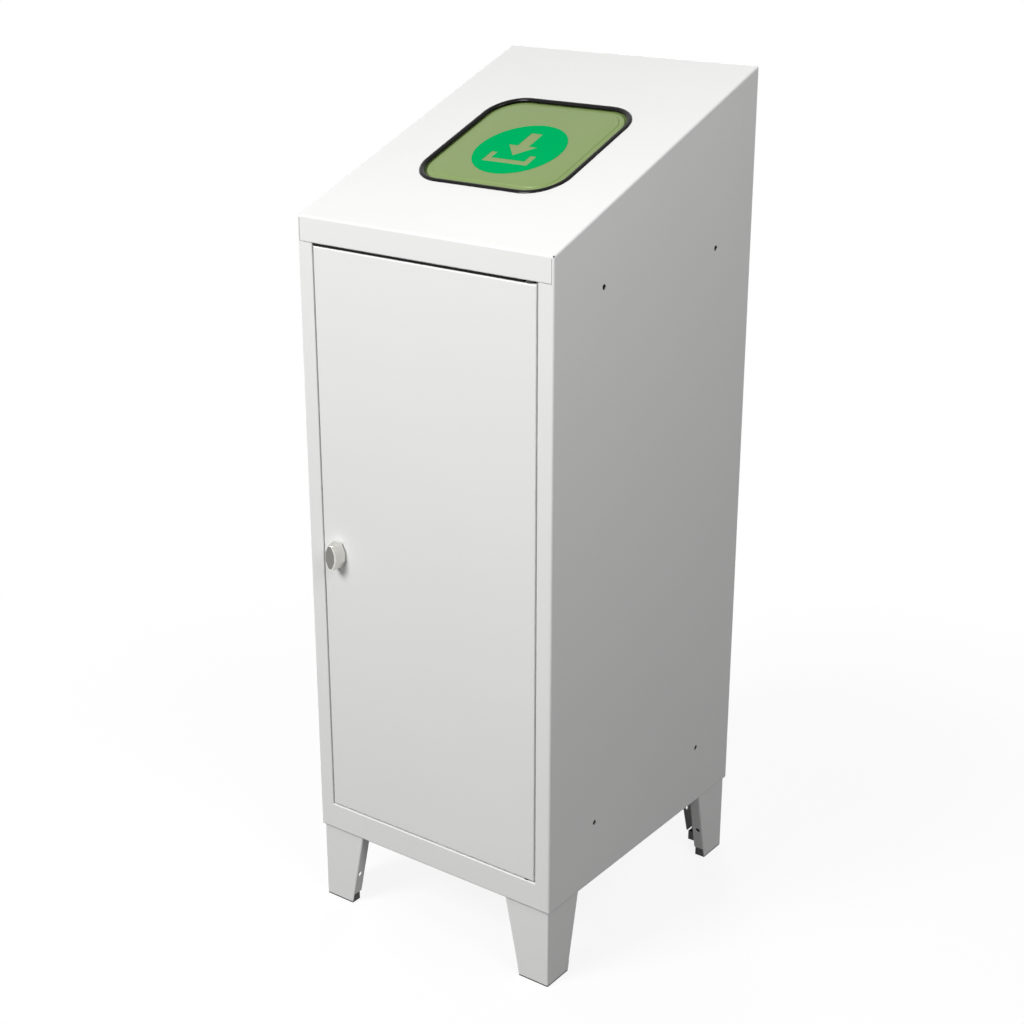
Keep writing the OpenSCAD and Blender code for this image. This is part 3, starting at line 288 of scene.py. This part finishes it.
# Its section, from the cut edge outwards and out of the hood: an arc above, its mirror image below,
# and a groove that holds the sheet
trim_half, trim_stand, hood_sheet, groove_in = 3.5, 2.2, 1.2, 0.05
cut_w, cut_r = 211.0, 44.5
back_r = (trim_half ** 2 + trim_stand ** 2) / (2 * trim_stand)
reach = math.asin(trim_half / back_r)
a = np.linspace(reach, -reach, 17)
back = np.stack([back_r * np.sin(a), trim_stand - back_r + back_r * np.cos(a)], 1)
under = np.stack([back[::-1, 0], -hood_sheet - back[::-1, 1]], 1)
groove = np.array([[0, -hood_sheet], [-groove_in, -hood_sheet], [-groove_in, 0], [0, 0]])
section = np.concatenate([back, under, groove])
point, normal = rounded_square(cut_w, cut_r, arc=28)
xy = point + section[:, 0, None, None] * normal
grid = on_slope(xy[..., 0], xy[..., 1], section[:, 1, None])
trim = skin("mouth_trim", grid, rubber, "cabinet", closed_rows=True)
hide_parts("flap_trim")


# The flap: one moulding in olive polypropylene, a little sunk in the mouth, with a face inside a
# lower border and a flange that meets the trim from below. A round label of green film sits on
# the face, and a back plate carries the ears that turn on the rod.

def folded_profile(corners, radii, steps=6):
    """A line through the corners given, each replaced by an arc of its radius: the arc starts
    radius * tan(turn / 2) before the corner and sweeps through the turn."""
    p = np.asarray(corners, float)
    line = [p[:1]]
    for i in range(1, len(p) - 1):
        radius = radii[i - 1]
        before, after = p[i] - p[i - 1], p[i + 1] - p[i]
        before, after = before / np.linalg.norm(before), after / np.linalg.norm(after)
        turn = math.atan2(before[0] * after[1] - before[1] * after[0], before @ after)
        inward = np.array([-before[1], before[0]]) * np.sign(turn)
        centre = p[i] - before * radius * math.tan(abs(turn) / 2) + inward * radius
        t = np.linspace(0, abs(turn), steps)[:, None]
        line.append(centre - radius * (inward * np.cos(t) - before * np.sin(t)))
    return np.concatenate(line + [p[-1:]])


# Polypropylene, moulded with a fine spark-eroded grain of about 0.9 mm: silky, not glossy, in a
# colour that hardly wanders over the flap
olive, tree, shader = finish_named("polypropylene_olive", IOR=1.49, Specular_IOR_Level=0.35)
place = add(tree, "TexCoord").outputs["Object"]
cloud = add(tree, "TexNoise", {"Vector": place, "Scale": per_metre(83.3), "Detail": 3.0})
shade = add(tree, "Mix", {0: cloud.outputs[0], 6: linear("#7B9252"), 7: linear("#819758")}, data_type="RGBA")
grain = add(tree, "TexNoise", {"Vector": place, "Scale": per_metre(0.909), "Detail": 2.0})
rough = add(tree, "MapRange", {"Value": grain.outputs[0], "To Min": 0.26, "To Max": 0.36})
bump = add(tree, "Bump", {"Height": grain.outputs[0], "Strength": 0.15, "Distance": 0.0002})
feed(tree, shader, shade, rough, bump)

# Its section, from the flap's outline inwards and out of the hood, runs from the face over the
# border, down the edge, round the flange and back along the underside. Both ends then close in to
# the middle.
flap_w, flap_r, middle = 199.6, 38.8, 36.0
border_w, step_w, flange_w, wall = 7.0, 1.0, 6.0, 2.5
face_n, border_n, stop_n, low_n, ceiling_n = -0.6, -1.6, -3.62, -5.92, -4.1
section = folded_profile(
    [[middle, face_n], [border_w + step_w, face_n], [border_w, border_n], [0, border_n], [0, stop_n],
     [-flange_w, stop_n], [-flange_w, low_n], [wall, low_n], [wall, ceiling_n], [middle, ceiling_n]],
    [0.9, 0.5, 1.8, 0.2, 0.5, 0.5, 0.5, 0.8])
point, normal = rounded_square(flap_w, flap_r, arc=24)
shell = point - section[:, 0, None, None] * normal
shrink = np.linspace(0.9, 0.02, 8)[:, None, None]
face, ceiling = shell[0] * shrink[::-1], shell[-1] * shrink
xy = np.concatenate([face, shell, ceiling])
n = np.concatenate([np.full(len(face), face_n), section[:, 1], np.full(len(ceiling), ceiling_n)])
grid = on_slope(xy[..., 0], xy[..., 1], n[:, None])
flap = skin("flap_moulding", grid[:, ::-1], olive, "flap")
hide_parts("flap_panel")

# Vinyl film, printed and laid on the face: matt, in an even colour
film, tree, shader = finish_named("vinyl_film_green", IOR=1.5, Specular_IOR_Level=0.0)
place = add(tree, "TexCoord").outputs["Object"]
ink = add(tree, "TexNoise", {"Vector": place, "Scale": per_metre(3.333), "Detail": 2.0})
shade = add(tree, "Mix", {0: ink.outputs[0], 6: linear("#00AC5F"), 7: linear("#00B063")}, data_type="RGBA")
rough = add(tree, "MapRange", {"Value": ink.outputs[0], "To Min": 0.3, "To Max": 0.36})
feed(tree, shader, shade, rough)
coat(film, "flap_symbol")
coat(glide_black, "flap_back_plate")
coat(plated, "flap_screws", "flap_bracket_left", "flap_bracket_right", "flap_rod", "rod_clips")


# The flap's return springs: each is one wire of plated steel, coiled round the rod, with a long leg
# under the flap's back plate and a short one under the hood.

def swept(path, radius, sides=10):
    """Rings round a path: each point lies the radius out from the path, at an angle round the path's
    direction. The angle is measured from the axis that is square to the direction and to X."""
    along = np.gradient(path, axis=0)
    along /= np.linalg.norm(along, axis=1, keepdims=True)
    out = np.cross(along, [1.0, 0.0, 0.0])
    out /= np.linalg.norm(out, axis=1, keepdims=True)
    across = np.cross(out, along)
    a = np.linspace(0, 2 * np.pi, sides, endpoint=False)[None, :, None]
    return path[:, None] + radius * (np.cos(a) * across[:, None] + np.sin(a) * out[:, None])


# The wire's path on the slope: a helix round the rod, which starts above it and advances by the
# pitch for each turn, with a straight leg at each end that leaves along the helix's tangent
rod_v, rod_n = 113.8, -12.5
coil_x, coil_r, coil_pitch, coil_turns, wire_r = 58.0, 3.88, 1.8, 6, 0.6
short_leg, long_leg = 10.08, 34.0
turn = coil_turns * 2 * math.pi - math.atan(short_leg / coil_r)
t = np.linspace(0, 1, 161)[:, None]
a = math.pi / 2 - turn * t
x = coil_x + coil_pitch * turn / (2 * math.pi) * t
coil = np.concatenate([x, rod_v + coil_r * np.cos(a), rod_n + coil_r * np.sin(a)], 1)
leave = np.array([0, math.sin(a[-1, 0]), -math.cos(a[-1, 0])])
path = np.concatenate([coil[:1] + [0, -long_leg, 0], coil, coil[-1:] + short_leg * leave])
wire = swept(path, wire_r)
for name, side in (("left", -1), ("right", 1)):
    grid = on_slope(side * wire[..., 0], wire[..., 1], wire[..., 2])
    spring = skin("spring_" + name, grid[:, ::side], plated, "flap")
    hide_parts("flap_spring_" + name)


# The liner: a loose box of hot-dip galvanised sheet with a hem and two handholds, which stands
# on the floor pan between two guides of the same sheet.

# Galvanised steel: crystals of about 12 mm, each with its own shade and gloss
galvanised, tree, shader = finish_named("steel_galvanised", Metallic=1.0)
place = add(tree, "TexCoord").outputs["Object"]
spangle = add(tree, "TexVoronoi", {"Vector": place, "Scale": per_metre(11.76)}).outputs["Color"]
shade = add(tree, "Mix", {0: spangle, 6: linear("#9EA1A3"), 7: linear("#BFC1C2")}, data_type="RGBA")
rough = add(tree, "MapRange", {"Value": spangle, "To Min": 0.3, "To Max": 0.5})
feed(tree, shader, shade, rough)
coat(galvanised, "liner", "liner_guide_left", "liner_guide_right")


# The studio: a white floor that keeps the bin's soft shadow and melts into a white surround. A large
# soft lamp stands high in front, a smaller one on the right, and one behind, for the back and the
# left side. The camera looks at the photograph's angle.

def seen_rays(tree):
    """1 for a ray that shows the studio, to the eye or in metal or glass, and 0 for a ray of the light
    that falls on the bin: the maximum of the camera, glossy and transmission rays' flags."""
    ray = add(tree, "LightPath").outputs
    mirror = add(tree, "Math", {0: ray["Is Camera Ray"], 1: ray["Is Glossy Ray"]}, operation="MAXIMUM")
    glass = add(tree, "Math", {0: mirror.outputs[0], 1: ray["Is Transmission Ray"]}, operation="MAXIMUM")
    return glass.outputs[0]


# Painted board: white to the eye, fully so from half a metre to 1.4 m out, and grey to the light
# that it throws back on the bin
board = bpy.data.materials.new("studio_board")
board.use_nodes = True
tree = board.node_tree
tree.nodes.clear()
seen = seen_rays(tree)
place = add(tree, "TexCoord").outputs["Object"]
away = add(tree, "VectorMath", {0: place}, operation="LENGTH").outputs["Value"]
melt = {"Value": away, "From Min": 0.5, "From Max": 1.4, "To Min": 0.88, "To Max": 1.0}
far = add(tree, "MapRange", melt, interpolation_type="SMOOTHSTEP")
share = add(tree, "Math", {0: far.outputs[0], 1: seen}, operation="MULTIPLY")
shade = add(tree, "Mix", {0: seen, 6: linear("#5C5C5C"), 7: linear("#FFFFFF")}, data_type="RGBA")
lit = add(tree, "BsdfDiffuse", {"Color": shade.outputs[2]})
glow = add(tree, "Emission", {"Color": (1, 1, 1, 1), "Strength": 1.0})
both = add(tree, "MixShader", {0: share.outputs[0], 1: lit.outputs[0], 2: glow.outputs[0]})
add(tree, "OutputMaterial", {"Surface": both.outputs[0]})
mesh = bpy.data.meshes.new("floor")
floor_half = 40.0
corners = [(x * floor_half, y * floor_half, 0) for x, y in ((-1, -1), (1, -1), (1, 1), (-1, 1))]
mesh.from_pydata(corners, [], [(0, 1, 2, 3)])
mesh.materials.append(board)
floor = bpy.data.objects.new("floor", mesh)
bpy.context.scene.collection.objects.link(floor)

world = bpy.data.worlds.new("surround")
world.use_nodes = True
tree = world.node_tree
background = tree.nodes["Background"]
background.inputs["Color"].default_value = (1, 1, 1, 1)
strength = add(tree, "MapRange", {"Value": seen_rays(tree), "To Min": 0.16, "To Max": 1.0})
tree.links.new(strength.outputs[0], background.inputs["Strength"])
bpy.context.scene.world = world


def lamp(name, place, target, size, watts):
    """A square area lamp whose face is turned to the target."""
    light = bpy.data.lights.new(name, "AREA")
    light.shape, light.size, light.energy = "SQUARE", size, watts
    body = bpy.data.objects.new(name, light)
    body.location = place
    x, y, z = np.array(place) - np.array(target)
    body.rotation_euler = (math.atan2(math.hypot(x, y), z), 0, math.atan2(y, x) + math.pi / 2)
    bpy.context.scene.collection.objects.link(body)


lamp("key", (-0.9, -2.8, 2.75), (0, 0, 0.7), 1.4, 107)
lamp("fill", (1.6, -0.8, 2.0), (0.19, -0.1, 0.7), 0.8, 17.5)
lamp("rear", (-1.6, 2.6, 1.2), (-0.1, 0.1, 0.6), 1.2, 50)

yaw, pitch = math.radians(36.39), math.radians(20.85)
eye = bpy.data.cameras.new("camera")
eye.sensor_width, eye.lens = 36, 64.4
camera = bpy.data.objects.new("camera", eye)
camera.location = (1.320, -1.8227, 1.401)
camera.rotation_euler = (math.pi / 2 - pitch, 0, yaw)
bpy.context.scene.collection.objects.link(camera)
bpy.context.scene.camera = camera
bpy.context.scene.view_settings.view_transform = "Standard"
